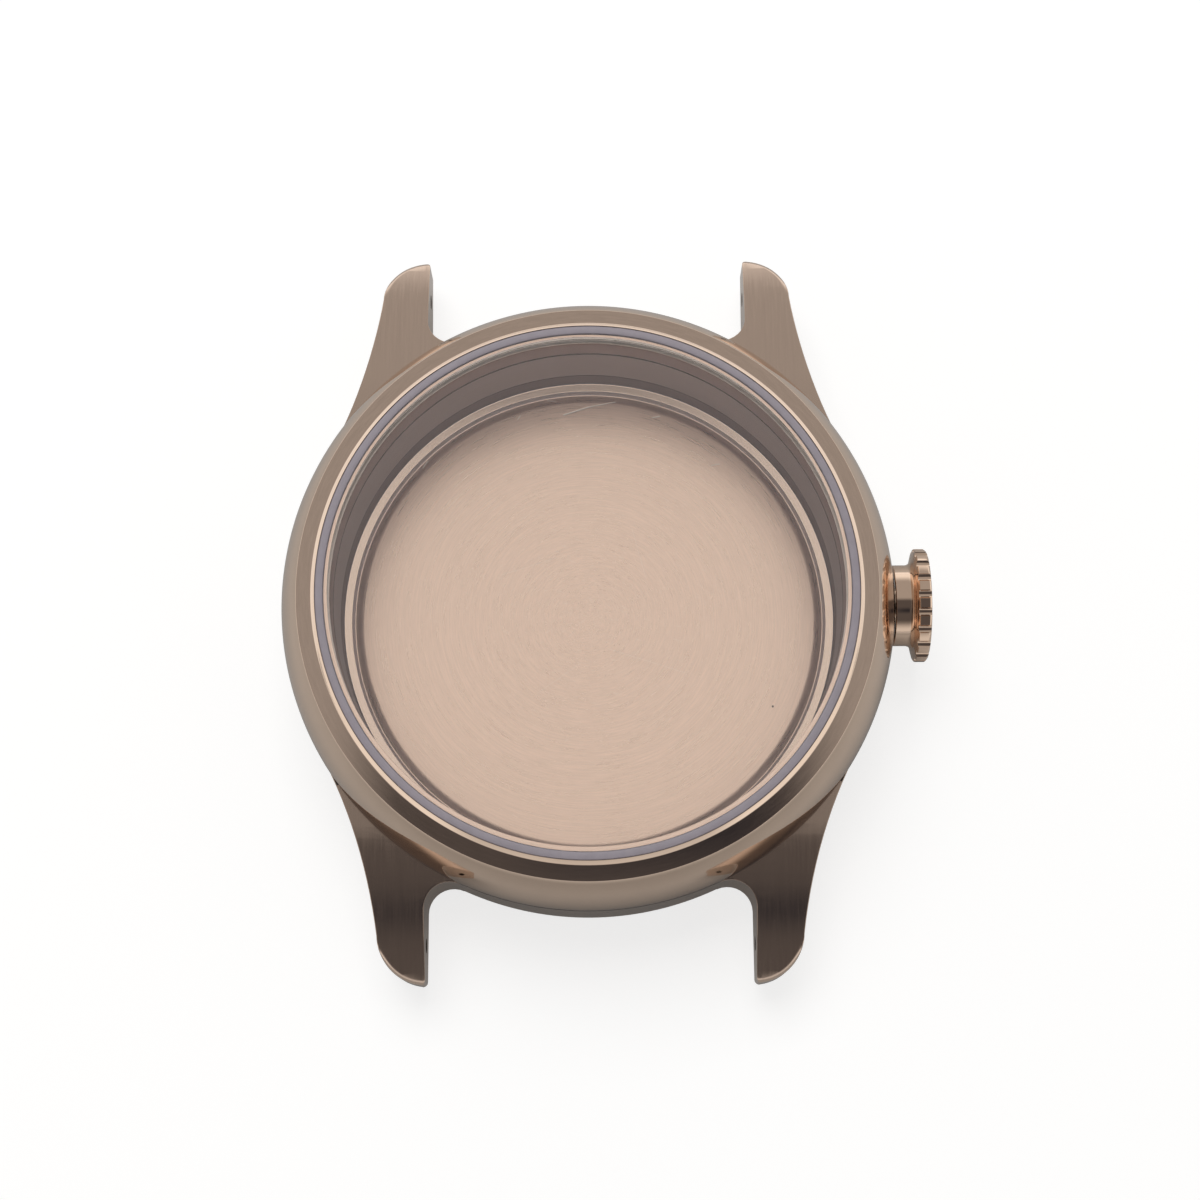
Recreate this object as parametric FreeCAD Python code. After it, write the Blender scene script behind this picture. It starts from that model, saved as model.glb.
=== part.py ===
import FreeCAD, Part
import math
import os

# Empty wristwatch case, in millimetres. The origin is the centre of the case back's
# outer face. +Z rises through the crystal, +X points to the crown, +Y to 12 o'clock.

# Fits
press_gap = 0.05             # pieces pressed together around a shoulder
running_gap = 0.05           # pieces that turn or slide in each other
seal_gap = 0.02              # a seal against the wall that it slides on

# Widths, from the bore outwards
bore_radius = 17.0           # room for the movement
crystal_ledge = 0.3          # ledge under the edge of the crystal
crystal_seal_wall = 0.57     # ring round the crystal
lip_width = 0.28             # polished lip of the bezel
top_ring_width = 1.0         # brushed ring of the bezel
flank_width = 1.5            # how far the polished flank spreads towards its foot

# Heights, from the case back upwards
back_thickness = 0.95        # floor and flange of the case back
wall_height = 6.0            # outer wall of the case middle
flank_height = 4.75          # polished flank of the bezel
top_ring_rise = 0.27
lip_rise = 0.31

# Bezel and its seat
flank_bulge = 0.25           # how far the flank swells beyond a straight cone
spigot_wall = 1.85           # collar of the case middle that the bezel presses over
spigot_height = 1.1
bezel_seal_width = 0.95
bezel_seal_height = 0.5

# Crystal
crystal_thickness = 2.0
crystal_proud = 0.1          # glass above the polished lip
crystal_bevel = 0.25
crystal_seal_sink = 0.03     # seal below the polished lip

# Lugs
lug_gap = 22.0               # strap width
lug_reach = 4.6              # lug tip beyond the case wall
lug_tip_width = 3.15
lug_spread_angle = 33.5      # where the outer flank leaves the case, degrees from 3 o'clock
lug_waist = 0.5              # hollow of the outer flank
lug_root_fillet = 1.7
lug_curve_length = 10.25     # stretch over which the top of the lug curves down
lug_drop = 2.1               # height lost over that stretch
lug_nose_length = 0.95
lug_lift = 0.7               # underside of the tip above the underside of the case
spring_bar_inset = 2.65      # bar hole from the lug tip
spring_bar_height = 2.55     # bar hole above the underside of the case
spring_bar_radius = 0.5

# Case middle
case_bottom_chamfer = 0.5

# Case back
back_rim_wall = 1.25         # rim that presses into the case middle
back_rim_height = 2.25       # rim above the flange
back_flange_inset = 1.05     # flange inside the case wall
back_flange_edge = 0.25      # upright edge of the flange
back_edge_slope = 1.2        # width of the slope under the flange
back_shelf_width = 0.57      # flat ring inside the rim
back_shelf_rise = 0.3        # that ring above the floor
back_groove_width = 0.68
back_groove_depth = 0.2
back_groove_edge = 0.18      # width of its steep side, under the shelf
back_seal_width = 0.55
back_seal_height = 0.6
pry_notch_width = 4.0
pry_notch_depth = 0.6
pry_notch_angle = 180.0      # degrees from 3 o'clock

# Crown
crown_gap = 0.1              # between the hub and the case wall
crown_hub_radius = 2.75
crown_hub_length = 1.2
crown_rim_radius = 3.84
crown_rim_width = 0.98
crown_back_slope = 0.16
crown_neck = 0.45            # cone between hub and rim
crown_corner = 0.14
flute_count = 20
flute_radius = 0.3
flute_offset = 0.07          # flute centre beyond the rim
crown_floor = 0.55           # metal behind the crown's end face

# Crown tube and what runs on it
tube_radius = 1.25
tube_cover = 0.3             # case wall above the tube
tube_bore_radius = 0.8
crown_seal_wall = 0.68
crown_seal_length = 0.5
washer_length = 0.15
washer_inset = 0.1           # washer inside the mouth of the hub
core_wall = 0.3
core_sink = 0.3              # core pressed into the crown's floor
core_length = 1.85           # core beyond the crown's floor

# Radii and heights that follow
crystal_radius = bore_radius + crystal_ledge
seal_seat_radius = crystal_radius + crystal_seal_wall
lip_radius = seal_seat_radius + lip_width
bezel_edge_radius = lip_radius + top_ring_width
case_radius = bezel_edge_radius + flank_width
spigot_radius = bore_radius + spigot_wall
back_rim_radius = bore_radius + back_rim_wall
back_seat_radius = back_rim_radius + running_gap
case_bottom_z = back_thickness
wall_top_z = case_bottom_z + wall_height
spigot_top_z = wall_top_z + spigot_height
bezel_edge_z = wall_top_z + flank_height
lip_z = bezel_edge_z + top_ring_rise
lip_top_z = lip_z + lip_rise
crystal_top_z = lip_top_z + crystal_proud
ledge_z = crystal_top_z - crystal_thickness
back_rim_top_z = case_bottom_z + back_rim_height
back_seal_inner_radius = back_rim_radius - back_seal_width
bezel_seal_z = spigot_top_z + press_gap - bezel_seal_height
bezel_seal_inner_radius = spigot_radius - bezel_seal_width
lug_tip_y = case_radius + lug_reach
crown_z = wall_top_z - tube_cover - tube_radius
hub_x = case_radius + crown_gap
rim_x = hub_x + crown_hub_length
crown_end_x = rim_x + crown_rim_width
crown_recess_x = crown_end_x - crown_floor
crown_bore_radius = tube_radius + seal_gap + crown_seal_wall
washer_x = hub_x + washer_inset
crown_seal_x = washer_x + washer_length


def plan(point):
    return FreeCAD.Vector(point[0], point[1], 0)


def section(point):
    return FreeCAD.Vector(point[0], 0, point[1])


def side(point):
    return FreeCAD.Vector(0, point[0], point[1])


# A step is a point, reached by a straight line, or a pair of points: an arc through
# the first to the second. The last step closes the outline with a straight line.
def outline(place, start, *steps):
    edges = []
    here = start
    for step in steps + (start,):
        if isinstance(step[0], tuple):
            through, end = step
            edges.append(Part.Arc(place(here), place(through), place(end)).toShape())
        else:
            end = step
            edges.append(Part.LineSegment(place(here), place(end)).toShape())
        here = end
    return Part.Face(Part.Wire(edges))


def turned(start, *steps):
    face = outline(section, start, *steps)
    return face.revolve(FreeCAD.Vector(0, 0, 0), FreeCAD.Vector(0, 0, 1), 360)


# The outline holds (distance along X, radius), and the crown's axis carries it.
def turned_on_crown_axis(start, *steps):
    face = outline(plan, start, *steps)
    solid = face.revolve(FreeCAD.Vector(0, 0, 0), FreeCAD.Vector(1, 0, 0), 360)
    solid.translate(FreeCAD.Vector(0, 0, crown_z))
    return solid


def ring(inner, outer, bottom, top):
    return turned((inner, bottom), (outer, bottom), (outer, top), (inner, top))


def sleeve(inner, outer, start_x, end_x):
    return turned_on_crown_axis(
        (start_x, inner), (start_x, outer), (end_x, outer), (end_x, inner))


def rod_on_x(radius, length, y, z):
    return Part.makeCylinder(
        radius, length, FreeCAD.Vector(-length / 2, y, z), FreeCAD.Vector(1, 0, 0))


def polar(radius, degrees):
    angle = math.radians(degrees)
    return (radius * math.cos(angle), radius * math.sin(angle))


# Plan of the lug at one o'clock: root fillet, straight inner face, round tip and
# hollow outer flank, closed inside the case wall.
def lug_plan():
    inner_x = lug_gap / 2
    fillet_x = inner_x - lug_root_fillet
    fillet_y = math.sqrt((case_radius + lug_root_fillet) ** 2 - fillet_x ** 2)
    towards_case = math.degrees(math.atan2(fillet_y, fillet_x))
    on_case = polar(case_radius, towards_case)
    fillet_mid = polar(lug_root_fillet, (towards_case + 180 + 360) / 2)
    fillet_through = (fillet_x + fillet_mid[0], fillet_y + fillet_mid[1])
    shoulder = (inner_x + lug_tip_width, lug_tip_y - lug_tip_width)
    tip_mid = polar(lug_tip_width, 45)
    tip_through = (inner_x + tip_mid[0], shoulder[1] + tip_mid[1])
    root = polar(case_radius, lug_spread_angle)
    waist = ((root[0] + shoulder[0]) / 2 - lug_waist, (root[1] + shoulder[1]) / 2)
    buried_radius = (spigot_radius + bore_radius) / 2
    return outline(
        plan,
        polar(buried_radius, towards_case),
        on_case,
        (fillet_through, (inner_x, fillet_y)),
        (inner_x, lug_tip_y),
        (tip_through, shoulder),
        (waist, root),
        polar(buried_radius, lug_spread_angle))


# Side view of the lug: level at the case wall, then curving down to a round nose.
def lug_side():
    curve_y = lug_tip_y - lug_curve_length
    nose_y = lug_tip_y - lug_nose_length
    run = nose_y - curve_y
    curve_radius = (run ** 2 + lug_drop ** 2) / (2 * lug_drop)
    half_turn = math.atan(lug_drop / run)
    curve_through = (
        curve_y + curve_radius * math.sin(half_turn),
        wall_top_z - curve_radius * (1 - math.cos(half_turn)))
    nose_top_z = wall_top_z - lug_drop
    nose_low_z = case_bottom_z + lug_lift
    return outline(
        side,
        (0, case_bottom_z),
        (0, wall_top_z),
        (curve_y, wall_top_z),
        (curve_through, (nose_y, nose_top_z)),
        ((lug_tip_y, (nose_top_z + nose_low_z) / 2), (nose_y, nose_low_z)),
        (curve_y, case_bottom_z))


def lug():
    height = FreeCAD.Vector(0, 0, wall_top_z)
    width = FreeCAD.Vector(case_radius, 0, 0)
    return lug_plan().extrude(height).common(lug_side().extrude(width))


def four_lugs():
    origin = FreeCAD.Vector(0, 0, 0)
    one = lug()
    two = [one, one.mirror(origin, FreeCAD.Vector(1, 0, 0))]
    return two + [each.mirror(origin, FreeCAD.Vector(0, 1, 0)) for each in two]


# Case middle: wall, spigot for the bezel and seat for the case back.
def mid_case():
    wall = turned(
        (bore_radius, case_bottom_z),
        (case_radius - case_bottom_chamfer, case_bottom_z),
        (case_radius, case_bottom_z + case_bottom_chamfer),
        (case_radius, wall_top_z),
        (spigot_radius, wall_top_z),
        (spigot_radius, bezel_seal_z),
        (bezel_seal_inner_radius - press_gap, bezel_seal_z),
        (bezel_seal_inner_radius - press_gap, spigot_top_z),
        (bore_radius, spigot_top_z))
    back_seat = Part.makeCylinder(back_seat_radius, back_rim_top_z + running_gap)
    movement_room = Part.makeCylinder(bore_radius, spigot_top_z)
    tube_hole = sleeve(0, tube_radius, 0, lug_tip_y)
    bar_holes = [
        rod_on_x(spring_bar_radius, 2 * case_radius, end * (lug_tip_y - spring_bar_inset),
                 case_bottom_z + spring_bar_height)
        for end in (-1, 1)
    ]
    body = wall.fuse(four_lugs()).cut([back_seat, movement_room, tube_hole] + bar_holes)
    return body.removeSplitter()


# Bezel: polished flank, brushed ring, polished lip, seat for the crystal's seal.
def bezel():
    skirt_radius = spigot_radius + press_gap
    flank_mid = ((case_radius + bezel_edge_radius) / 2 + flank_bulge,
                 (wall_top_z + bezel_edge_z) / 2)
    return turned(
        (skirt_radius, wall_top_z),
        (case_radius, wall_top_z),
        (flank_mid, (bezel_edge_radius, bezel_edge_z)),
        (lip_radius, lip_z),
        (seal_seat_radius, lip_top_z),
        (seal_seat_radius, ledge_z),
        (bore_radius, ledge_z),
        (bore_radius, spigot_top_z + press_gap),
        (skirt_radius, spigot_top_z + press_gap))


def bezel_gasket():
    return ring(bezel_seal_inner_radius, spigot_radius, bezel_seal_z,
                bezel_seal_z + bezel_seal_height)


def crystal():
    return turned(
        (0, ledge_z),
        (crystal_radius, ledge_z),
        (crystal_radius, crystal_top_z - crystal_bevel),
        (crystal_radius - crystal_bevel, crystal_top_z),
        (0, crystal_top_z))


def crystal_gasket():
    return ring(crystal_radius, seal_seat_radius, ledge_z, lip_top_z - crystal_seal_sink)


# Press-on back: plain outside, turned floor inside with a groove, a shelf and the rim.
# The rim is undercut at its foot, where the seal lies on the flange.
def case_back():
    flange_radius = case_radius - back_flange_inset
    shelf_radius = bore_radius - back_shelf_width
    floor_radius = shelf_radius - back_groove_width
    groove_z = back_thickness - back_groove_depth
    seal_top_z = back_thickness + back_seal_height
    shelf_z = back_thickness + back_shelf_rise
    body = turned(
        (0, 0),
        (flange_radius - back_edge_slope, 0),
        (flange_radius, back_thickness - back_flange_edge),
        (flange_radius, back_thickness),
        (back_seal_inner_radius, back_thickness),
        (back_seal_inner_radius, seal_top_z),
        (back_rim_radius, seal_top_z),
        (back_rim_radius, back_rim_top_z),
        (bore_radius, back_rim_top_z),
        (bore_radius, shelf_z),
        (shelf_radius, shelf_z),
        (shelf_radius - back_groove_edge, groove_z),
        (floor_radius, back_thickness),
        (0, back_thickness))
    notch = Part.makeBox(
        2 * pry_notch_depth, pry_notch_width, back_thickness,
        FreeCAD.Vector(flange_radius - pry_notch_depth, -pry_notch_width / 2, 0))
    notch.rotate(FreeCAD.Vector(0, 0, 0), FreeCAD.Vector(0, 0, 1), pry_notch_angle)
    return body.cut(notch)


def case_back_gasket():
    return ring(back_seal_inner_radius, back_seat_radius - seal_gap, back_thickness,
                back_thickness + back_seal_height)


def crown_tube():
    return sleeve(tube_bore_radius, tube_radius, bore_radius, crown_recess_x - seal_gap)


# Crown: hub, conical neck, fluted rim and a flat end, bored for the tube.
def crown():
    body = turned_on_crown_axis(
        (hub_x, 0),
        (hub_x, crown_hub_radius),
        (rim_x - crown_neck, crown_hub_radius),
        (rim_x, crown_hub_radius + crown_neck),
        (rim_x + crown_back_slope, crown_rim_radius),
        (crown_end_x - crown_corner, crown_rim_radius),
        (crown_end_x, crown_rim_radius - crown_corner),
        (crown_end_x, 0))
    flutes = [flute(index) for index in range(flute_count)]
    recess = sleeve(0, crown_bore_radius, 0, crown_recess_x)
    core_hole = sleeve(0, core_radius(), 0, crown_recess_x + core_sink)
    return body.cut(flutes + [recess, core_hole])


def flute(index):
    centre = polar(crown_rim_radius + flute_offset, index * 360 / flute_count)
    return Part.makeCylinder(
        flute_radius, crown_end_x - hub_x,
        FreeCAD.Vector(rim_x, centre[0], crown_z + centre[1]), FreeCAD.Vector(1, 0, 0))


def core_radius():
    return tube_bore_radius - running_gap


# Post inside the crown, tapped for the winding stem.
def crown_core():
    start_x = crown_recess_x - core_length
    return sleeve(core_radius() - core_wall, core_radius(), start_x,
                  crown_recess_x + core_sink)


def crown_gasket():
    return sleeve(tube_radius + seal_gap, crown_bore_radius, crown_seal_x,
                  crown_seal_x + crown_seal_length)


def crown_washer():
    return sleeve(tube_radius + running_gap, crown_bore_radius, washer_x,
                  washer_x + washer_length)


pieces = {
    "mid_case": mid_case,
    "bezel": bezel,
    "bezel_gasket": bezel_gasket,
    "crystal": crystal,
    "crystal_gasket": crystal_gasket,
    "crown_tube": crown_tube,
    "crown": crown,
    "crown_core": crown_core,
    "crown_gasket": crown_gasket,
    "crown_washer": crown_washer,
    "case_back": case_back,
    "case_back_gasket": case_back_gasket,
}

os.makedirs("parts", exist_ok=True)
for name, make in pieces.items():
    shape = make()
    shape.exportStep("parts/" + name + ".step")
    print(name, "solids", len(shape.Solids), "valid", shape.isValid(),
          "volume", round(shape.Volume, 3))
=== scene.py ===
import bpy
import math
from mathutils import Matrix, Vector


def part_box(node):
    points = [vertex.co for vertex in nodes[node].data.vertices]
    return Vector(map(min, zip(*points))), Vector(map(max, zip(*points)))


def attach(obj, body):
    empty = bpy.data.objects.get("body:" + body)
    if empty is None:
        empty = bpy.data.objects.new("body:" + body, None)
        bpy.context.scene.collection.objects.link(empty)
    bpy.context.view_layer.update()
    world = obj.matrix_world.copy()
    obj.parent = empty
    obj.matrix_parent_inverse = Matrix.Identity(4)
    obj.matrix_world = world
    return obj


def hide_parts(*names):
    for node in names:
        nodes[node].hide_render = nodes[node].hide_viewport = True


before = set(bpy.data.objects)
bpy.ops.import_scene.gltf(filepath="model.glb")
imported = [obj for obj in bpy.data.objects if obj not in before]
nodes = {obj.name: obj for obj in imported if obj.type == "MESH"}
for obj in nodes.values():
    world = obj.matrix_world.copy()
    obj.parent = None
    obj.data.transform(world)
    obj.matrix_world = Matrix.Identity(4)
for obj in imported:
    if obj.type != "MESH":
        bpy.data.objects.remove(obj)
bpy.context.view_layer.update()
print("frame loaded:", len(nodes), "CAD nodes")

# Lengths are written in millimetres and times mm they are Blender's metres.
mm = 0.001


def inMm(corner):
    return [value / mm for value in corner]


# Places that the CAD frame gives, in millimetres
bezelLow, bezelHigh = map(inMm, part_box("bezel"))
crystalLow, crystalHigh = map(inMm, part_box("crystal"))
sealLow, sealHigh = map(inMm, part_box("crystal_gasket"))
middleLow, middleHigh = map(inMm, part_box("mid_case"))
backHigh = inMm(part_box("case_back")[1])
crownLow, crownHigh = map(inMm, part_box("crown"))
tubeLow, tubeHigh = map(inMm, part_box("crown_tube"))
coreEnd = inMm(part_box("crown_core")[1])[0]
caseRadius = bezelHigh[0]
boreRadius = tubeLow[0]
crownAxisZ = (crownLow[2] + crownHigh[2]) / 2


# Camera: straight above, leaning twelve degrees towards six o'clock
camera = {
    "lookAt": (0.81, -0.77, 11.7),
    "azimuth": 0.55,
    "elevation": 78.0,
    "roll": -1.0,
    "distance": 158.9,
    "lens": 72.8,
}


def placeCamera():
    azimuth = math.radians(camera["azimuth"])
    elevation = math.radians(camera["elevation"])
    roll = math.radians(camera["roll"])
    back = Vector((math.sin(azimuth) * math.cos(elevation),
                   -math.cos(azimuth) * math.cos(elevation),
                   math.sin(elevation)))
    level = Vector((math.cos(azimuth), math.sin(azimuth), 0))
    upright = back.cross(level)
    right = math.cos(roll) * level + math.sin(roll) * upright
    up = math.cos(roll) * upright - math.sin(roll) * level
    turn = Matrix((right, up, back)).transposed()
    place = (Vector(camera["lookAt"]) + camera["distance"] * back) * mm
    bpy.ops.object.camera_add(location=place, rotation=turn.to_euler())
    eye = bpy.context.object
    eye.name = "camera"
    eye.data.lens = camera["lens"]
    eye.data.clip_start = 0.01
    eye.data.clip_end = 10
    bpy.context.scene.camera = eye


placeCamera()
print("camera placed")


# Small helpers for the node trees
def newMaterial(name, **sockets):
    material = bpy.data.materials.new(name)
    material.use_nodes = True
    shader = material.node_tree.nodes["Principled BSDF"]
    for socket, value in sockets.items():
        shader.inputs[socket.replace("_", " ")].default_value = value
    return material, material.node_tree, shader


def addNode(tree, kind, sockets=None, **settings):
    node = tree.nodes.new("ShaderNode" + kind)
    for setting, value in settings.items():
        setattr(node, setting, value)
    for socket, value in (sockets or {}).items():
        if hasattr(value, "is_linked"):
            tree.links.new(value, node.inputs[socket])
        else:
            node.inputs[socket].default_value = value
    return node


# A link can stand wherever these take a number.
def compute(tree, operation, first, second=0.0):
    return addNode(tree, "Math", {0: first, 1: second}, operation=operation).outputs[0]


def mapRange(tree, value, low, high, toLow=0.0, toHigh=1.0, smooth=False):
    node = addNode(tree, "MapRange", {"Value": value, "From Min": low, "From Max": high,
                                      "To Min": toLow, "To Max": toHigh})
    if smooth:
        node.interpolation_type = "SMOOTHSTEP"
    return node.outputs["Result"]


def mixColour(tree, factor, first, second):
    node = addNode(tree, "Mix", data_type="RGBA")
    for socket, value in ((0, factor), (6, first), (7, second)):
        if hasattr(value, "is_linked"):
            tree.links.new(value, node.inputs[socket])
        else:
            node.inputs[socket].default_value = value
    return node.outputs[2]


def objectPoint(tree):
    return addNode(tree, "TexCoord").outputs["Object"]


def dimmed(colour, share):
    return [each * share for each in colour[:3]] + [1]


# The studio: pale surroundings, a bright patch overhead and the darker side where the
# camera stands. The surroundings are the same for every view.
studio = {
    "horizon": (1.0, 0.985, 0.96, 1),
    "overhead": (0.40, 0.385, 0.37, 1),
    "horizonTop": 0.12,          # sine of the height where the pale horizon starts to fall
    "overheadFoot": 0.50,
    "shadeStart": (13.0, 1.0),   # degrees from straight up, where the camera's side darkens
    "shadeEnd": (-52.0, -70.0),  # and where it fades to the part that is left
    "shadeLeft": 0.35,
    "shadeWidth": (42.0, 28.0),  # degrees to the side: its outer end, and where it is full
    "shade": (0.095, 0.088, 0.088, 1),
    "core": (0.03, 0.03, 0.037, 1),
    "coreLean": -25.0,           # where the darkest part of the shade lies, and how far it spreads
    "coreSide": 9.0,
    "coreSpread": 12.0,
    "coreWidth": (26.0, 10.0),
    "backdrop": (1.0, 1.0, 1.0, 1),
    "underGlass": 0.9,           # how far the crystal lets the pale backdrop replace the sky
    "lampTilt": 27.0,            # the lamp's place in degrees, and its distance in metres
    "lampSide": -8.0,
    "lampDistance": 0.50,
    "lampSize": 0.32,
    "lampPower": 1.25,
    "floorSize": 3.0,
    "floorColour": (0.34, 0.34, 0.335, 1),
    "floorLift": 0.76,           # light added to the floor where the camera sees it
    "floorGlow": (0.08, 0.22, 0.75),   # and where metal mirrors it: close by, around, far
    "glowReach": (20.0, 34.0, 46.0, 75.0),   # millimetres from the case where these meet
    "glowFall": (-50.0, 0.0),    # it fades towards the camera's side
    "glowLow": 0.35,
}


def makeWorld():
    world = bpy.data.worlds.new("studio")
    bpy.context.scene.world = world
    world.use_nodes = True
    tree = world.node_tree
    direction = addNode(tree, "TexCoord").outputs["Generated"]
    across, along, height = addNode(tree, "SeparateXYZ", {0: direction}).outputs
    rise = mapRange(tree, height, studio["horizonTop"], studio["overheadFoot"], smooth=True)
    colour = mixColour(tree, rise, studio["horizon"], studio["overhead"])
    lean = compute(tree, "ARCTAN2", along, height)
    begin = mapRange(tree, lean, *map(math.radians, studio["shadeStart"]), smooth=True)
    side = mapRange(tree, compute(tree, "ABSOLUTE", across),
                    *[math.sin(math.radians(each)) for each in studio["shadeWidth"]], smooth=True)
    end = mapRange(tree, lean, *map(math.radians, studio["shadeEnd"]), 1.0, studio["shadeLeft"],
                   smooth=True)
    shade = compute(tree, "MULTIPLY", compute(tree, "MULTIPLY", begin, end), side)
    aside = compute(tree, "ABSOLUTE", compute(tree, "SUBTRACT", lean, math.radians(studio["coreLean"])))
    core = mapRange(tree, aside, 0.0, math.radians(studio["coreSpread"]), 1.0, 0.0, smooth=True)
    offside = compute(tree, "SUBTRACT", across, math.sin(math.radians(studio["coreSide"])))
    middling = mapRange(tree, compute(tree, "ABSOLUTE", offside),
                        *[math.sin(math.radians(each)) for each in studio["coreWidth"]], smooth=True)
    core = compute(tree, "MULTIPLY", core, middling)
    colour = mixColour(tree, shade, colour, mixColour(tree, core, studio["shade"], studio["core"]))
    rays = addNode(tree, "LightPath")
    through = compute(tree, "MULTIPLY", rays.outputs["Is Transmission Ray"], studio["underGlass"])
    seen = compute(tree, "MAXIMUM", rays.outputs["Is Camera Ray"], through)
    colour = mixColour(tree, seen, colour, studio["backdrop"])
    tree.links.new(colour, tree.nodes["Background"].inputs["Color"])


def makeLamp():
    tilt, side = math.radians(studio["lampTilt"]), math.radians(studio["lampSide"])
    toward = Vector((math.sin(side), math.sin(tilt), math.cos(tilt) * math.cos(side)))
    bpy.ops.object.light_add(type="AREA", location=toward * studio["lampDistance"],
                             rotation=toward.to_track_quat("Z", "Y").to_euler())
    lamp = bpy.context.object
    lamp.name = "softbox"
    lamp.data.size = studio["lampSize"]
    lamp.data.energy = studio["lampPower"]
    lamp.visible_glossy = False
    lamp.visible_transmission = False


def makeFloor():
    bpy.ops.mesh.primitive_plane_add(size=studio["floorSize"], location=(0, 0, -0.01 * mm))
    floor = bpy.context.object
    floor.name = "floor"
    material, tree, shader = newMaterial("paleFloor", Base_Color=studio["floorColour"], Roughness=0.8)
    shader.inputs["Specular IOR Level"].default_value = 0.1
    rays = addNode(tree, "LightPath")
    direct = compute(tree, "MULTIPLY", rays.outputs["Is Camera Ray"], studio["floorLift"])
    point = objectPoint(tree)
    away = addNode(tree, "VectorMath", {0: point}, operation="LENGTH").outputs["Value"]
    forward = addNode(tree, "SeparateXYZ", {0: point}).outputs["Y"]
    dim = mapRange(tree, forward, studio["glowFall"][0] * mm, studio["glowFall"][1] * mm,
                   studio["glowLow"], 1.0, smooth=True)
    reach = [each * mm for each in studio["glowReach"]]
    close, around, far = studio["floorGlow"]
    glow = compute(tree, "ADD", mapRange(tree, away, reach[0], reach[1], close, around, smooth=True),
                 mapRange(tree, away, reach[2], reach[3], 0.0, far - around, smooth=True))
    glow = compute(tree, "MULTIPLY", glow, dim)
    mirrored = compute(tree, "MULTIPLY", rays.outputs["Is Glossy Ray"], glow)
    shader.inputs["Emission Color"].default_value = (1, 1, 1, 1)
    tree.links.new(compute(tree, "MAXIMUM", direct, mirrored), shader.inputs["Emission Strength"])
    floor.data.materials.append(material)


bpy.context.scene.view_settings.view_transform = "Standard"
makeWorld()
makeLamp()
makeFloor()
print("studio made")


# Finishes. The ledge, bezel bore, case bore and rim colours are darker copies of the same steel: painted
# shade inside the case.
steel = {
    "polished": (0.82, 0.64, 0.51, 1),
    "brushed": (0.78, 0.61, 0.50, 1),
    "turned": (0.88, 0.64, 0.505, 1),
    "ledge": (0.60, 0.51, 0.455, 1),
    "shadedBezelBore": (0.50, 0.425, 0.44, 1),
    "shadedCaseBore": (0.54, 0.50, 0.53, 1),
    "rim": (0.38, 0.325, 0.35, 1),
    "shelf": (0.74, 0.56, 0.45, 1),
}


# Fine streaks: noise drawn out along one axis. The scale is in waves per millimetre.
def streaks(tree, point, scale, detail=4.0, roughness=0.6):
    stretched = addNode(tree, "VectorMath", {0: point, 1: [each / mm for each in scale]},
                        operation="MULTIPLY").outputs["Vector"]
    return addNode(tree, "TexNoise", {"Vector": stretched, "Scale": 1.0, "Detail": detail,
                                      "Roughness": roughness}).outputs["Fac"]


# Streaks that run round the case's axis, on flat faces and on walls, with no seam.
# It gives the distance from the axis too.
def turnedStreaks(tree, point, perMm, around):
    flat = addNode(tree, "VectorMath", {0: point, 1: (1, 1, 0)}, operation="MULTIPLY").outputs["Vector"]
    radius = addNode(tree, "VectorMath", {0: flat}, operation="LENGTH").outputs["Value"]
    heading = addNode(tree, "VectorMath", {0: flat}, operation="NORMALIZE").outputs["Vector"]
    parts = addNode(tree, "SeparateXYZ", {0: heading})
    height = addNode(tree, "SeparateXYZ", {0: point}).outputs["Z"]
    place = addNode(tree, "CombineXYZ", {
        "X": compute(tree, "MULTIPLY", compute(tree, "ADD", radius, height), perMm / mm),
        "Y": compute(tree, "MULTIPLY", parts.outputs["X"], around),
        "Z": compute(tree, "MULTIPLY", parts.outputs["Y"], around)}).outputs["Vector"]
    return addNode(tree, "TexNoise", {"Vector": place, "Scale": 1.0, "Detail": 3.0,
                                      "Roughness": 0.65}).outputs["Fac"], radius


def bump(tree, shader, height, depth):
    node = addNode(tree, "Bump", {"Height": height, "Distance": depth * mm, "Strength": 1.0})
    tree.links.new(node.outputs["Normal"], shader.inputs["Normal"])


def polishedSteel(name, colour, roughness):
    material, tree, shader = newMaterial(name, Base_Color=colour, Metallic=1.0)
    point = objectPoint(tree)
    haze = streaks(tree, point, (0.35, 0.35, 0.35))
    tree.links.new(mapRange(tree, haze, 0.3, 0.7, *roughness), shader.inputs["Roughness"])
    tint = mixColour(tree, mapRange(tree, haze, 0.25, 0.75), colour, dimmed(colour, 0.94))
    tree.links.new(tint, shader.inputs["Base Color"])
    bump(tree, shader, streaks(tree, point, (6, 6, 6), detail=2.0), 0.0004)
    return material


def brushedSteel(name, colour, scale, depth, roughness):
    material, tree, shader = newMaterial(name, Base_Color=colour, Metallic=1.0)
    point = objectPoint(tree)
    grain = streaks(tree, point, scale)
    tree.links.new(mapRange(tree, grain, 0.3, 0.7, *roughness), shader.inputs["Roughness"])
    tint = mixColour(tree, mapRange(tree, grain, 0.3, 0.7), dimmed(colour, 0.94), colour)
    tree.links.new(tint, shader.inputs["Base Color"])
    bump(tree, shader, grain, depth)
    return material


# The edge colour is what the metal mirrors at a grazing angle; below 1 it dims that mirroring, painted
# shade on the inner walls.
def turnedSteel(name, colour, perMm, around, depth, roughness, edge=1.0):
    material, tree, shader = newMaterial(name, Base_Color=colour, Metallic=1.0,
                                         Specular_Tint=(edge, edge, edge, 1))
    grain = turnedStreaks(tree, objectPoint(tree), perMm, around)[0]
    tree.links.new(mapRange(tree, grain, 0.3, 0.7, *roughness), shader.inputs["Roughness"])
    tint = mixColour(tree, mapRange(tree, grain, 0.3, 0.7), dimmed(colour, 0.9), colour)
    tree.links.new(tint, shader.inputs["Base Color"])
    bump(tree, shader, grain, depth)
    return material
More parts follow.
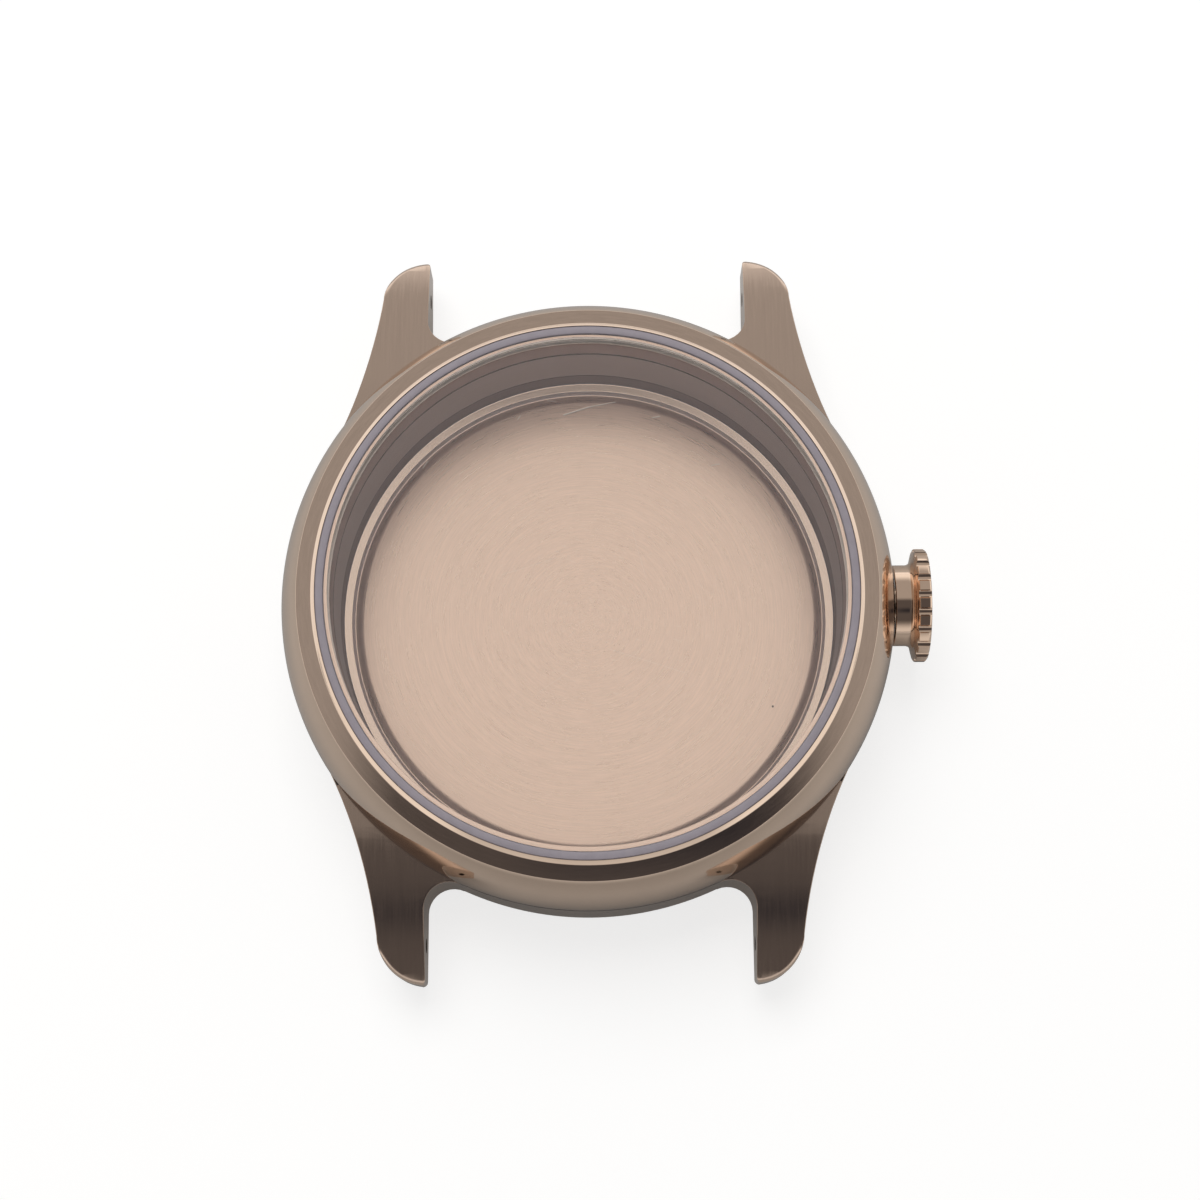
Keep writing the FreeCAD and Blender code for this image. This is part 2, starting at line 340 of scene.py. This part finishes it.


# Scratches on the floor of the case back, in millimetres: from, to, width, brightness. The brightness is
# a painted glint on real scratches.
glintingScratches = [
    ((-1.67, 14.78), (0.10, 15.34), 0.07, 1.0),
    ((0.10, 15.34), (1.97, 15.70), 0.055, 0.9),
    ((-4.95, 14.45), (-4.75, 14.75), 0.05, 0.8),
    ((-2.85, 15.90), (-2.2, 15.75), 0.05, 0.6),
    ((-11.6, 11.0), (-11.3, 11.5), 0.05, 0.8),
    ((4.6, 14.52), (5.1, 14.62), 0.06, 0.9),
    ((8.7, 11.0), (9.3, 11.1), 0.05, 0.7),
    ((-6.1, 3.2), (-2.3, 4.4), 0.025, 0.35),
    ((1.4, -2.1), (6.6, -3.8), 0.025, 0.3),
    ((-3.6, -5.2), (-0.6, -3.1), 0.022, 0.3),
    ((3.1, 6.4), (4.0, 3.0), 0.022, 0.3),
]
speck = ((12.66, -6.24), 0.10)   # place and size of the dark one


# How far a point lies from the line between two places, seen from above
def distanceToLine(tree, point, start, end):
    begin = Vector((start[0] * mm, start[1] * mm, 0))
    along = Vector((end[0] * mm, end[1] * mm, 0)) - begin
    flat = addNode(tree, "VectorMath", {0: point, 1: (1, 1, 0)}, operation="MULTIPLY").outputs["Vector"]
    offset = addNode(tree, "VectorMath", {0: flat, 1: begin}, operation="SUBTRACT").outputs["Vector"]
    if along.length == 0:
        return addNode(tree, "VectorMath", {0: offset}, operation="LENGTH").outputs["Value"]
    share = addNode(tree, "VectorMath", {0: offset, 1: along / along.length_squared},
                    operation="DOT_PRODUCT").outputs["Value"]
    share = addNode(tree, "Clamp", {"Value": share}).outputs[0]
    foot = addNode(tree, "VectorMath", {0: along, "Scale": share}, operation="SCALE").outputs["Vector"]
    return addNode(tree, "VectorMath", {0: offset, 1: foot}, operation="DISTANCE").outputs["Value"]


# Short straight marks: drawn-out noise, of which only the highest crests are kept
def shortMarks(tree, point, degrees, keep):
    turn = addNode(tree, "VectorRotate", {"Vector": point, "Angle": math.radians(degrees)},
                   rotation_type="Z_AXIS").outputs["Vector"]
    crest = streaks(tree, turn, (0.9, 14, 1), detail=1.0)
    return mapRange(tree, crest, keep, keep + 0.05, smooth=True)


def scratchedFloor():
    material, tree, shader = newMaterial("turnedFloor", Metallic=1.0)
    point = objectPoint(tree)
    fine = turnedStreaks(tree, point, 10, 4)[0]
    broad, radius = turnedStreaks(tree, point, 2.6, 3)
    grain = compute(tree, "ADD", compute(tree, "MULTIPLY", fine, 0.75),
                    compute(tree, "MULTIPLY", broad, 0.25))
    colour = mixColour(tree, mapRange(tree, grain, 0.35, 0.65), dimmed(steel["turned"], 0.84),
                       steel["turned"])
    glintingMarks = compute(tree, "MAXIMUM", shortMarks(tree, point, 24, 0.70),
                    shortMarks(tree, point, -37, 0.72))
    glintingMarks = compute(tree, "MULTIPLY", glintingMarks, mapRange(tree, radius, 6 * mm, 13 * mm, 0.35, 0.06))
    scratchGlintLines = 0.0
    for start, end, width, brightness in glintingScratches:
        away = distanceToLine(tree, point, start, end)
        oneScratchGlint = mapRange(tree, away, 0.3 * width * mm, width * mm, brightness, 0.0, smooth=True)
        scratchGlintLines = compute(tree, "MAXIMUM", oneScratchGlint, scratchGlintLines)
    # The scratches and short marks are real wear, tinted near white: a painted glint.
    colour = mixColour(tree, compute(tree, "MAXIMUM", glintingMarks, scratchGlintLines), colour, (1.0, 0.90, 0.80, 1))
    place, size = speck
    away = distanceToLine(tree, point, place, place)
    dark = mapRange(tree, away, 0.5 * size * mm, size * mm, 1.0, 0.0, smooth=True)
    colour = mixColour(tree, dark, colour, (0.10, 0.08, 0.07, 1))
    tree.links.new(colour, shader.inputs["Base Color"])
    haze = mapRange(tree, grain, 0.35, 0.65, 0.26, 0.34)
    # Less metal along the scratches lets the pale tint show as a painted glint.
    tree.links.new(mapRange(tree, scratchGlintLines, 0.0, 1.0, 1.0, 0.35), shader.inputs["Metallic"])
    rough = compute(tree, "MULTIPLY", compute(tree, "MAXIMUM", glintingMarks, scratchGlintLines), 0.3)
    tree.links.new(compute(tree, "ADD", haze, rough), shader.inputs["Roughness"])
    depth = compute(tree, "ADD", compute(tree, "MULTIPLY", glintingMarks, 1.2),
                    compute(tree, "MULTIPLY", scratchGlintLines, 22.0))
    bump(tree, shader, compute(tree, "SUBTRACT", grain, depth), 0.0008)
    return material


def plainFinish(name, colour, roughness):
    material, tree, shader = newMaterial(name, Base_Color=colour, Metallic=0.0)
    point = objectPoint(tree)
    mottle = streaks(tree, point, (1.5, 1.5, 1.5))
    tree.links.new(mapRange(tree, mottle, 0.3, 0.7, roughness * 0.85, roughness * 1.15),
                   shader.inputs["Roughness"])
    tint = mixColour(tree, mapRange(tree, mottle, 0.3, 0.7), dimmed(colour, 0.9), colour)
    tree.links.new(tint, shader.inputs["Base Color"])
    return material


def mineralGlass():
    material, tree, shader = newMaterial("mineralGlass", Base_Color=(0.985, 0.99, 0.985, 1),
                                         Roughness=0.0, IOR=1.52, Transmission_Weight=1.0)
    clear = addNode(tree, "BsdfTransparent")
    shadow = addNode(tree, "LightPath").outputs["Is Shadow Ray"]
    both = addNode(tree, "MixShader", {0: shadow, 1: shader.outputs[0], 2: clear.outputs[0]})
    tree.links.new(both.outputs[0], tree.nodes["Material Output"].inputs["Surface"])
    return material


finish = {
    "polished": polishedSteel("polishedSteel", steel["polished"], (0.05, 0.11)),
    "lugTop": brushedSteel("brushedLugs", steel["brushed"], (9, 0.22, 1), 0.0004,
                           (0.16, 0.24)),
    "ringTop": turnedSteel("brushedRing", steel["brushed"], 9, 14, 0.0005, (0.09, 0.14)),
    # Darker steel copies with dimmed grazing mirroring: painted shade on the ledge, the bores and the
    # rim.
    "ledge": turnedSteel("shadedTurnedLedge", steel["ledge"], 9, 3, 0.0003, (0.28, 0.36)),
    "shadedBezelBore": turnedSteel("shadedBezelBore", steel["shadedBezelBore"], 4, 2, 0.00005, (0.50, 0.56), 0.35),
    "shadedCaseBore": turnedSteel("shadedCaseBore", steel["shadedCaseBore"], 4, 2, 0.00005, (0.50, 0.56), 0.35),
    "rim": turnedSteel("shadedTurnedRim", steel["rim"], 4, 2, 0.00005, (0.56, 0.62), 0.25),
    "seam": plainFinish("seamShadow", (0.05, 0.045, 0.045, 1), 0.6),
    "shelf": turnedSteel("turnedShelf", steel["shelf"], 9, 3, 0.0006, (0.13, 0.20)),
    "turnedFloor": scratchedFloor(),
    "gold": polishedSteel("roseGold", (0.90, 0.68, 0.53, 1), (0.04, 0.08)),
    "nylon": plainFinish("sealNylon", (0.38, 0.345, 0.385, 1), 0.35),
    "rubber": plainFinish("blackRubber", (0.03, 0.03, 0.032, 1), 0.55),
    "glass": mineralGlass(),
}
print("finishes made:", len(finish))


def wear(piece, *materials):
    piece.data.materials.clear()
    for material in materials:
        piece.data.materials.append(material)


# Modelling helpers. Each starts with nothing else selected.
def startFromPoint(name, place):
    bpy.ops.object.select_all(action="DESELECT")
    bpy.ops.mesh.primitive_plane_add(size=mm)
    piece = bpy.context.object
    piece.name = name
    piece.data.name = name
    bpy.ops.object.mode_set(mode="EDIT")
    bpy.ops.mesh.select_all(action="SELECT")
    bpy.ops.mesh.merge(type="CENTER")
    bpy.ops.transform.translate(value=place)
    return piece


def selectVertices(piece, wanted):
    bpy.ops.object.mode_set(mode="OBJECT")
    for edge in piece.data.edges:
        edge.select = False
    for polygon in piece.data.polygons:
        polygon.select = False
    for vertex in piece.data.vertices:
        vertex.select = wanted(vertex.co)
    bpy.ops.object.mode_set(mode="EDIT")


# Two places closer than this are the same corner, and vertices closer than the weld
# distance become one. The slack is how far a face's centre may lie off its surface.
sameSpot = 0.002
weld = 0.0005
slack = 0.001


def near(point, place):
    return (point - place).length < sameSpot * mm


# Draws a section corner by corner, rounds the corners that ask for it, and spins it.
# A corner is (along, radius) or (along, radius, rounding), measured from the axis.
def spinSection(name, corners, steps, axis="Z", rise=0.0):
    def place(corner):
        along, radius = corner[0] * mm, corner[1] * mm
        return Vector((radius, 0, along)) if axis == "Z" else Vector((along, 0, rise * mm + radius))

    piece = startFromPoint(name, place(corners[0]))
    for here, there in zip(corners, corners[1:]):
        bpy.ops.mesh.extrude_vertices_move(
            TRANSFORM_OT_translate={"value": place(there) - place(here)})
    ends = (place(corners[0]), place(corners[-1]))
    if max(corners[0][1], corners[-1][1]) > 0:
        selectVertices(piece, lambda point: near(point, ends[0]) or near(point, ends[1]))
        bpy.ops.mesh.edge_face_add()
    for corner in corners:
        if len(corner) == 3:
            selectVertices(piece, lambda point: near(point, place(corner)))
            bpy.ops.mesh.bevel(offset=corner[2] * mm, segments=3, affect="VERTICES")
    bpy.ops.mesh.select_all(action="SELECT")
    bpy.ops.mesh.spin(steps=steps, angle=2 * math.pi, use_auto_merge=True,
                      center=(0, 0, rise * mm), axis=(0, 0, 1) if axis == "Z" else (1, 0, 0))
    bpy.ops.mesh.select_all(action="SELECT")
    bpy.ops.mesh.remove_doubles(threshold=weld * mm)
    bpy.ops.mesh.normals_make_consistent(inside=False)
    bpy.ops.object.mode_set(mode="OBJECT")
    return piece


def selectOnly(piece):
    bpy.ops.object.select_all(action="DESELECT")
    piece.select_set(True)
    bpy.context.view_layer.objects.active = piece


# Joins the cutter to the piece or takes it away, and removes the cutter.
def cutInto(piece, cutter, operation="DIFFERENCE"):
    selectOnly(piece)
    cut = piece.modifiers.new("cut", "BOOLEAN")
    cut.object = cutter
    cut.operation = operation
    cut.solver = "EXACT"
    bpy.ops.object.modifier_apply(modifier=cut.name)
    bpy.data.objects.remove(cutter)


# A round bar along the X axis, for a cutter
def addRod(radius, length, centre, sides=48):
    bpy.ops.object.select_all(action="DESELECT")
    bpy.ops.mesh.primitive_cylinder_add(vertices=sides, radius=radius * mm, depth=length * mm,
                                        location=[each * mm for each in centre],
                                        rotation=(0, math.pi / 2, 0))
    return bpy.context.object


# Faces that meet at less than this angle shade as one surface.
def smooth(piece, degrees=28):
    selectOnly(piece)
    bpy.ops.object.shade_smooth_by_angle(angle=math.radians(degrees))
    flatten = piece.modifiers.new("flatFaces", "WEIGHTED_NORMAL")
    flatten.keep_sharp = True
    bpy.ops.object.modifier_apply(modifier=flatten.name)


def fit(piece, body, node):
    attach(piece, body)
    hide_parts(node)


# Gives each face the material slot that chooseSlot names for its centre and normal.
def paintFaces(piece, chooseSlot):
    for face in piece.data.polygons:
        face.material_index = chooseSlot(face.center / mm, face.normal)


# Points between two corners on a shallow arc that swells outwards by the bulge, or is
# hollow where the bulge is below zero
def swell(start, end, bulge, count):
    chord = Vector((end[0] - start[0], end[1] - start[1]))
    middle = Vector(((start[0] + end[0]) / 2, (start[1] + end[1]) / 2))
    outward = Vector((-chord.y, chord.x)).normalized()
    if outward.y < 0:
        outward = -outward
    radius = (chord.length ** 2 / 4 + bulge ** 2) / (2 * bulge)
    half = math.asin(chord.length / 2 / radius)
    centre = middle - outward * (radius - bulge)
    points = []
    for index in range(1, count):
        angle = half * (2 * index / count - 1)
        points.append(tuple(centre + radius * (math.cos(angle) * outward
                                               + math.sin(angle) * chord.normalized())))
    return points


ringSteps = 256

bezel = {
    "lipWidth": 0.28,
    "ringWidth": 1.0,
    "lipRise": 0.31,
    "ringRise": 0.27,
    "flankSwell": 0.34,
    "footGap": 0.03,
    "skirtRadius": 18.9,
    "skirtHeight": 1.15,
    "footEdge": 0.10,
    "ringEdge": 0.025,
    "ringDepth": 0.02,           # how far below the ring's outer corner its brushed face reaches
    "lipEdge": 0.035,
    "boreEdge": 0.12,
    "ledgeEdge": 0.03,
    "flankSteps": 10,
}


def makeBezel():
    foot, top = bezelLow[2] + bezel["footGap"], bezelHigh[2]
    seat, ledge = sealHigh[0], sealLow[2]
    lipRadius = seat + bezel["lipWidth"]
    edgeRadius = lipRadius + bezel["ringWidth"]
    lipZ = top - bezel["lipRise"]
    edgeZ = lipZ - bezel["ringRise"]
    skirtTop = bezelLow[2] + bezel["skirtHeight"]
    flank = swell((foot, caseRadius), (edgeZ, edgeRadius), bezel["flankSwell"], bezel["flankSteps"])
    corners = [(foot, bezel["skirtRadius"]), (foot, caseRadius, bezel["footEdge"])] + flank + [
        (edgeZ, edgeRadius, bezel["ringEdge"]),
        (lipZ, lipRadius, bezel["lipEdge"]),
        (top, seat, bezel["lipEdge"]),
        (ledge, seat),
        (ledge, boreRadius, bezel["ledgeEdge"]),
        (skirtTop, boreRadius, bezel["boreEdge"]),
        (skirtTop, bezel["skirtRadius"])]
    piece = spinSection("bezelRing", corners, ringSteps)
    wear(piece, finish["polished"], finish["ringTop"], finish["shadedBezelBore"], finish["seam"],
         finish["ledge"])

    def chooseSlot(centre, normal):
        radius = math.hypot(centre.x, centre.y)
        if lipRadius < radius < edgeRadius and centre.z > edgeZ - bezel["ringDepth"]:
            return 1
        # The rounded edge at the bore's foot takes the seam finish, painted shade at the join; the rest
        # of the underside stays polished.
        if radius > boreRadius + slack and centre.z < skirtTop + bezel["boreEdge"]:
            return 3 if radius < boreRadius + bezel["boreEdge"] else 0
        # The ledge and the bore take the darker steel copies, painted shade.
        if boreRadius + slack < radius < seat - bezel["ledgeEdge"]:
            return 4
        return 2 if radius < boreRadius + slack else 0

    paintFaces(piece, chooseSlot)
    smooth(piece)
    fit(piece, "case", "bezel")


crystal = {"bevel": 0.25, "bevelEdge": 0.03, "footEdge": 0.06, "clearance": 0.02}


def makeCrystal():
    radius = crystalHigh[0] - crystal["clearance"]
    low, top = crystalLow[2] + crystal["clearance"], crystalHigh[2]
    corners = [(low, 0), (low, radius, crystal["footEdge"]),
               (top - crystal["bevel"], radius, crystal["bevelEdge"]),
               (top, radius - crystal["bevel"], crystal["bevelEdge"]), (top, 0)]
    piece = spinSection("crystalDisc", corners, ringSteps)
    wear(piece, finish["glass"])
    smooth(piece)
    fit(piece, "case", "crystal")


crystalSeal = {"topEdge": 0.12}


def makeCrystalSeal():
    low, top = sealLow[2], sealHigh[2]
    inner, outer = crystalHigh[0], sealHigh[0]
    corners = [(low, inner), (low, outer), (top, outer, crystalSeal["topEdge"]),
               (top, inner, crystalSeal["topEdge"])]
    piece = spinSection("crystalSeal", corners, ringSteps)
    wear(piece, finish["nylon"])
    smooth(piece)
    fit(piece, "case", "crystal_gasket")


caseBack = {
    "floorZ": 0.95,
    "slopeWidth": 1.2,
    "flangeEdge": 0.25,
    "shelfRise": 0.3,
    "shelfWidth": 0.57,
    "grooveWidth": 0.68,
    "grooveDepth": 0.15,
    "grooveSide": 0.18,
    "undercutRadius": 17.7,
    "undercutHeight": 0.6,
    "rimRadius": 18.25,
    "edge": 0.06,
    "footEdge": 0.08,
    "flangeCorner": 0.05,
    "rimEdge": 0.08,
    "shelfCorner": 0.10,
    "shelfEdge": 0.03,
    # Within this reach of the wall the darker rim steel paints shade into the shelf's corner.
    "shelfPaint": 0.05,          # how far the shelf's finish keeps from the wall
    "floorEdge": 0.15,
    "notchWidth": 4.0,
    "notchDepth": 0.6,
    "notchDrop": 0.01,
}


def makeCaseBack():
    floorZ, top = caseBack["floorZ"], backHigh[2]
    flange = backHigh[0]
    shelfZ = floorZ + caseBack["shelfRise"]
    shelfRadius = boreRadius - caseBack["shelfWidth"]
    floorRadius = shelfRadius - caseBack["grooveWidth"]
    undercutTop = floorZ + caseBack["undercutHeight"]
    edge = caseBack["edge"]
    corners = [
        (0, 0), (0, flange - caseBack["slopeWidth"], caseBack["footEdge"]),
        (floorZ - caseBack["flangeEdge"], flange, edge), (floorZ, flange, caseBack["flangeCorner"]),
        (floorZ, caseBack["undercutRadius"]), (undercutTop, caseBack["undercutRadius"]),
        (undercutTop, caseBack["rimRadius"]), (top, caseBack["rimRadius"], edge),
        (top, boreRadius, caseBack["rimEdge"]), (shelfZ, boreRadius, caseBack["shelfCorner"]),
        (shelfZ, shelfRadius, caseBack["shelfEdge"]),
        (floorZ - caseBack["grooveDepth"], shelfRadius - caseBack["grooveSide"], edge),
        (floorZ, floorRadius, caseBack["floorEdge"]), (floorZ, 0)]
    piece = spinSection("caseBackPlate", corners, ringSteps)
    bpy.ops.object.select_all(action="DESELECT")
    notch = (2 * caseBack["notchDepth"] * mm, caseBack["notchWidth"] * mm, floorZ * mm)
    notchZ = floorZ / 2 - caseBack["notchDrop"]
    bpy.ops.mesh.primitive_cube_add(size=1, scale=notch, location=(-flange * mm, 0, notchZ * mm))
    cutInto(piece, bpy.context.object)
    wear(piece, finish["turnedFloor"], finish["polished"], finish["rim"], finish["shelf"],
         finish["seam"], finish["shadedCaseBore"])

    def chooseSlot(centre, normal):
        radius = math.hypot(centre.x, centre.y)
        # The rim top's rounded edge takes the seam finish, painted shade at the join.
        if centre.z > top - caseBack["rimEdge"] and radius > boreRadius:
            return 4
        if centre.z < floorZ - caseBack["grooveDepth"] - edge or radius > boreRadius:
            return 1
        if radius < shelfRadius - caseBack["grooveSide"]:
            return 0
        # The groove's steep side takes the darker case bore steel, painted shade.
        if radius < shelfRadius:
            return 5
        # Near the wall the shelf's corner and the wall take the darker rim steel, painted shade in the
        # corner and on the wall.
        reach = caseBack["shelfPaint"]
        return 3 if radius < boreRadius - reach and centre.z < shelfZ + reach else 2

    paintFaces(piece, chooseSlot)
    smooth(piece)
    fit(piece, "back", "case_back")


crown = {
    "hubRadius": 2.75,
    "hubReach": 0.08,
    "hubLength": 1.2,
    "neck": 0.45,
    "backSlope": 0.16,
    "endCorner": 0.14,
    "flutes": 20,
    "fluteRadius": 0.3,
    "fluteOffset": 0.07,
    "fluteEdge": 0.045,
    "cutterLength": 3.0,
    "cutterMiddle": 1.4,         # behind the rim's back corner
    "rimRadius": 3.84,
    "hubEdge": 0.04,
    "rimCorner": 0.06,
    "endEdge": 0.05,
    "recessRadius": 1.95,
    "recessFloor": 0.55,
    "coreRadius": 0.75,
    "steps": 160,
}


def makeCrown():
    start, end = crownLow[0] - crown["hubReach"], crownHigh[0]
    rimX = crownLow[0] + crown["hubLength"]
    rimRadius, neck, hub = crown["rimRadius"], crown["neck"], crown["hubRadius"]
    hollow = []
    for degrees in range(0, 91, 15):
        angle = math.radians(degrees)
        hollow.append((rimX - neck + neck * math.sin(angle), hub + neck - neck * math.cos(angle)))
    floorX = end - crown["recessFloor"]
    corners = [(coreEnd, 0), (coreEnd, crown["coreRadius"]),
               (floorX, crown["coreRadius"]), (floorX, crown["recessRadius"]),
               (start, crown["recessRadius"]), (start, hub, crown["hubEdge"])] + hollow + [
        (rimX + crown["backSlope"], rimRadius, crown["rimCorner"]),
        (end - crown["endCorner"], rimRadius, crown["endEdge"]),
        (end, rimRadius - crown["endCorner"], crown["endEdge"]), (end, 0)]
    piece = spinSection("crownKnob", corners, crown["steps"], axis="X", rise=crownAxisZ)
    cutters = []
    reach = rimRadius + crown["fluteOffset"]
    for index in range(crown["flutes"]):
        angle = 2 * math.pi * index / crown["flutes"]
        centre = (rimX + crown["cutterMiddle"], reach * math.cos(angle),
                  crownAxisZ + reach * math.sin(angle))
        cutters.append(addRod(crown["fluteRadius"], crown["cutterLength"], centre, 28))
    bpy.ops.object.select_all(action="DESELECT")
    for cutter in cutters:
        cutter.select_set(True)
    bpy.context.view_layer.objects.active = cutters[0]
    bpy.ops.object.join()
    cutInto(piece, bpy.context.object)
    soften = piece.modifiers.new("fluteEdges", "BEVEL")
    soften.width = crown["fluteEdge"] * mm
    soften.segments = 2
    soften.limit_method = "ANGLE"
    soften.angle_limit = math.radians(45)
    bpy.ops.object.modifier_apply(modifier=soften.name)
    wear(piece, finish["gold"])
    smooth(piece)
    fit(piece, "crown", "crown")


middle = {
    "bottomChamfer": 0.5,
    "spigotRadius": 18.85,
    "sealShelf": 0.65,           # height of the seal's seat above the wall
    "sealBore": 17.85,
    "backSeat": 18.3,
    "backSeatHeight": 2.3,
    "seatEdge": 0.05,
    "footEdge": 0.06,
    "chamferEdge": 0.08,
    "wallEdge": 0.08,
    "boreEdge": 0.1,
    "lugGap": 22.0,
    "tipWidth": 3.15,
    "tipCorner": 0.34,
    "tipStart": 84,              # degrees on the tip's arc where the corner's rounding ends
    "tipRoll": 0.34,             # rounding over the tip, fading out towards the flank
    "rollAngles": (8.0, 34.0),
    "spreadAngle": 33.5,
    "hollow": -0.48,
    "rootFillet": 1.7,
    "buried": 18.6,
    "curveLength": 10.25,
    "curveRun": 9.3,
    "drop": 2.1,
    "lift": 0.7,
    "outlineEdge": 0.05,
    "insets": (0.07, 0.09, 0.10),
    "slices": 13,
    "barInset": 2.65,
    "barHeight": 2.55,
    "barRadius": 0.5,
    "brushedTilt": 0.45,         # faces that look up more than this, above this height
    "brushedFrom": 4.0,
    "smoothAngle": 21,
}


# Points on an arc from one angle to another, in degrees, with this many chords
def arcPoints(centre, radius, start, end, count):
    points = []
    for index in range(count + 1):
        angle = math.radians(start + (end - start) * index / count)
        points.append((centre[0] + radius * math.cos(angle), centre[1] + radius * math.sin(angle)))
    return points


# Plan of the lug at one o'clock, from inside the wall round the tip and back
def lugOutline():
    innerX, tipY = middle["lugGap"] / 2, middleHigh[1]
    fillet, width, corner = middle["rootFillet"], middle["tipWidth"], middle["tipCorner"]
    filletX = innerX - fillet
    filletY = math.sqrt((caseRadius + fillet) ** 2 - filletX ** 2)
    toward = math.degrees(math.atan2(filletY, filletX))
    shoulder = (innerX + width, tipY - width)
    root = arcPoints((0, 0), caseRadius, middle["spreadAngle"], middle["spreadAngle"], 1)[0]
    return (arcPoints((0, 0), middle["buried"], middle["spreadAngle"], toward, 4)
            + arcPoints((filletX, filletY), fillet, toward + 180, 360, 10)
            + arcPoints((innerX + corner, tipY - corner), corner, 180, 90, 4)
            + arcPoints((innerX, shoulder[1]), width, middle["tipStart"], 0, 22)
            + swell(shoulder, root, middle["hollow"], 12) + [root])


# How far a point of the lug moves down, or up at its foot, to bend the straight blank
def lugShift(point, waist):
    x, y, z = point / mm
    along = y - middleHigh[1] + middle["curveLength"]
    if along <= 0:
        return 0
    if z < waist:
        return along / middle["curveRun"] * middle["lift"]
    radius = (middle["curveRun"] ** 2 + middle["drop"] ** 2) / (2 * middle["drop"])
    across, ahead = x - middle["lugGap"] / 2, y - middleHigh[1] + middle["tipWidth"]
    low, high = middle["rollAngles"]
    share = min(max((math.degrees(math.atan2(ahead, across)) - low) / (high - low), 0), 1)
    roll = middle["tipRoll"]
    inward = min(max(roll - middle["tipWidth"] + math.hypot(across, ahead), 0), roll)
    rolled = share * (roll - math.sqrt(roll ** 2 - inward ** 2))
    return math.sqrt(radius ** 2 - along ** 2) - radius - rolled


def makeLugs(foot, top):
    outline = [Vector((x * mm, y * mm, foot * mm)) for x, y in lugOutline()]
    piece = startFromPoint("lugs", outline[0])
    for here, there in zip(outline, outline[1:]):
        bpy.ops.mesh.extrude_vertices_move(TRANSFORM_OT_translate={"value": there - here})
    bpy.ops.mesh.select_all(action="SELECT")
    bpy.ops.mesh.edge_face_add()
    bpy.ops.mesh.extrude_region_move(TRANSFORM_OT_translate={"value": (0, 0, (top - foot) * mm)})
    bpy.ops.mesh.bevel(offset=middle["outlineEdge"] * mm, segments=2, affect="EDGES")
    selectVertices(piece, lambda point: point.z / mm > top - slack)
    for step in middle["insets"]:
        bpy.ops.mesh.inset(thickness=step * mm)
    start = middleHigh[1] - middle["curveLength"]
    for index in range(middle["slices"]):
        sliceY = start + middle["curveLength"] * index / middle["slices"]
        bpy.ops.mesh.select_all(action="SELECT")
        bpy.ops.mesh.bisect(plane_co=(0, sliceY * mm, 0), plane_no=(0, 1, 0))
    bpy.ops.object.mode_set(mode="OBJECT")
    # Above a third of the height the blank bends with its top, and below it with its foot.
    waist = (2 * foot + top) / 3
    for shift in sorted({round(lugShift(vertex.co, waist), 3) for vertex in piece.data.vertices}):
        selectVertices(piece, lambda point: round(lugShift(point, waist), 3) == shift)
        bpy.ops.transform.translate(value=(0, 0, shift * mm))
    bpy.ops.mesh.select_all(action="SELECT")
    bpy.ops.mesh.normals_make_consistent(inside=False)
    bpy.ops.object.mode_set(mode="OBJECT")
    copies = piece.modifiers.new("fourLugs", "MIRROR")
    copies.use_axis = (True, True, False)
    bpy.ops.object.modifier_apply(modifier=copies.name)
    return piece


def makeCaseMiddle():
    foot, top = middleLow[2], bezelLow[2]
    seatTop = foot + middle["backSeatHeight"]
    shelf = top + middle["sealShelf"]
    corners = [
        (seatTop, boreRadius), (seatTop, middle["backSeat"]),
        (foot, middle["backSeat"], middle["seatEdge"]),
        (foot, caseRadius - middle["bottomChamfer"], middle["footEdge"]),
        (foot + middle["bottomChamfer"], caseRadius, middle["chamferEdge"]),
        (top, caseRadius, middle["wallEdge"]), (top, middle["spigotRadius"]),
        (shelf, middle["spigotRadius"]), (shelf, middle["sealBore"]),
        (middleHigh[2], middle["sealBore"]), (middleHigh[2], boreRadius, middle["boreEdge"])]
    piece = spinSection("caseMiddle", corners, ringSteps)
    cutInto(piece, makeLugs(foot, top), "UNION")
    cutInto(piece, addRod(tubeHigh[1], tubeHigh[0] - tubeLow[0], (caseRadius, 0, crownAxisZ)))
    for end in (-1, 1):
        barCentre = (0, end * (middleHigh[1] - middle["barInset"]), foot + middle["barHeight"])
        cutInto(piece, addRod(middle["barRadius"], 2 * caseRadius, barCentre))
    wear(piece, finish["polished"], finish["lugTop"], finish["shadedCaseBore"], finish["seam"])

    def chooseSlot(centre, normal):
        radius = math.hypot(centre.x, centre.y)
        # Rounded edges at the joins take the seam finish, painted shade between the parts.
        seam = centre.z > middleHigh[2] - middle["boreEdge"] or centre.z < seatTop + slack
        if seam and boreRadius < radius < middle["sealBore"]:
            return 3
        if top - middle["wallEdge"] < centre.z < top and 0 < caseRadius - radius < middle["wallEdge"]:
            return 3
        if normal.z > middle["brushedTilt"] and centre.z > middle["brushedFrom"]:
            return 1
        # The bore takes the darker case bore steel, painted shade.
        return 2 if radius < boreRadius + slack else 0

    paintFaces(piece, chooseSlot)
    smooth(piece, middle["smoothAngle"])
    fit(piece, "case", "mid_case")


for make in (makeBezel, makeCrystal, makeCrystalSeal, makeCaseBack, makeCrown, makeCaseMiddle):
    make()
    print("piece made:", bpy.context.object.name)

for name, key in (("crown_core", "polished"), ("crown_tube", "polished"), ("bezel_gasket", "nylon"),
                  ("case_back_gasket", "rubber"), ("crown_gasket", "rubber"), ("crown_washer", "nylon")):
    wear(nodes[name], finish[key])
print("carried-over nodes finished")
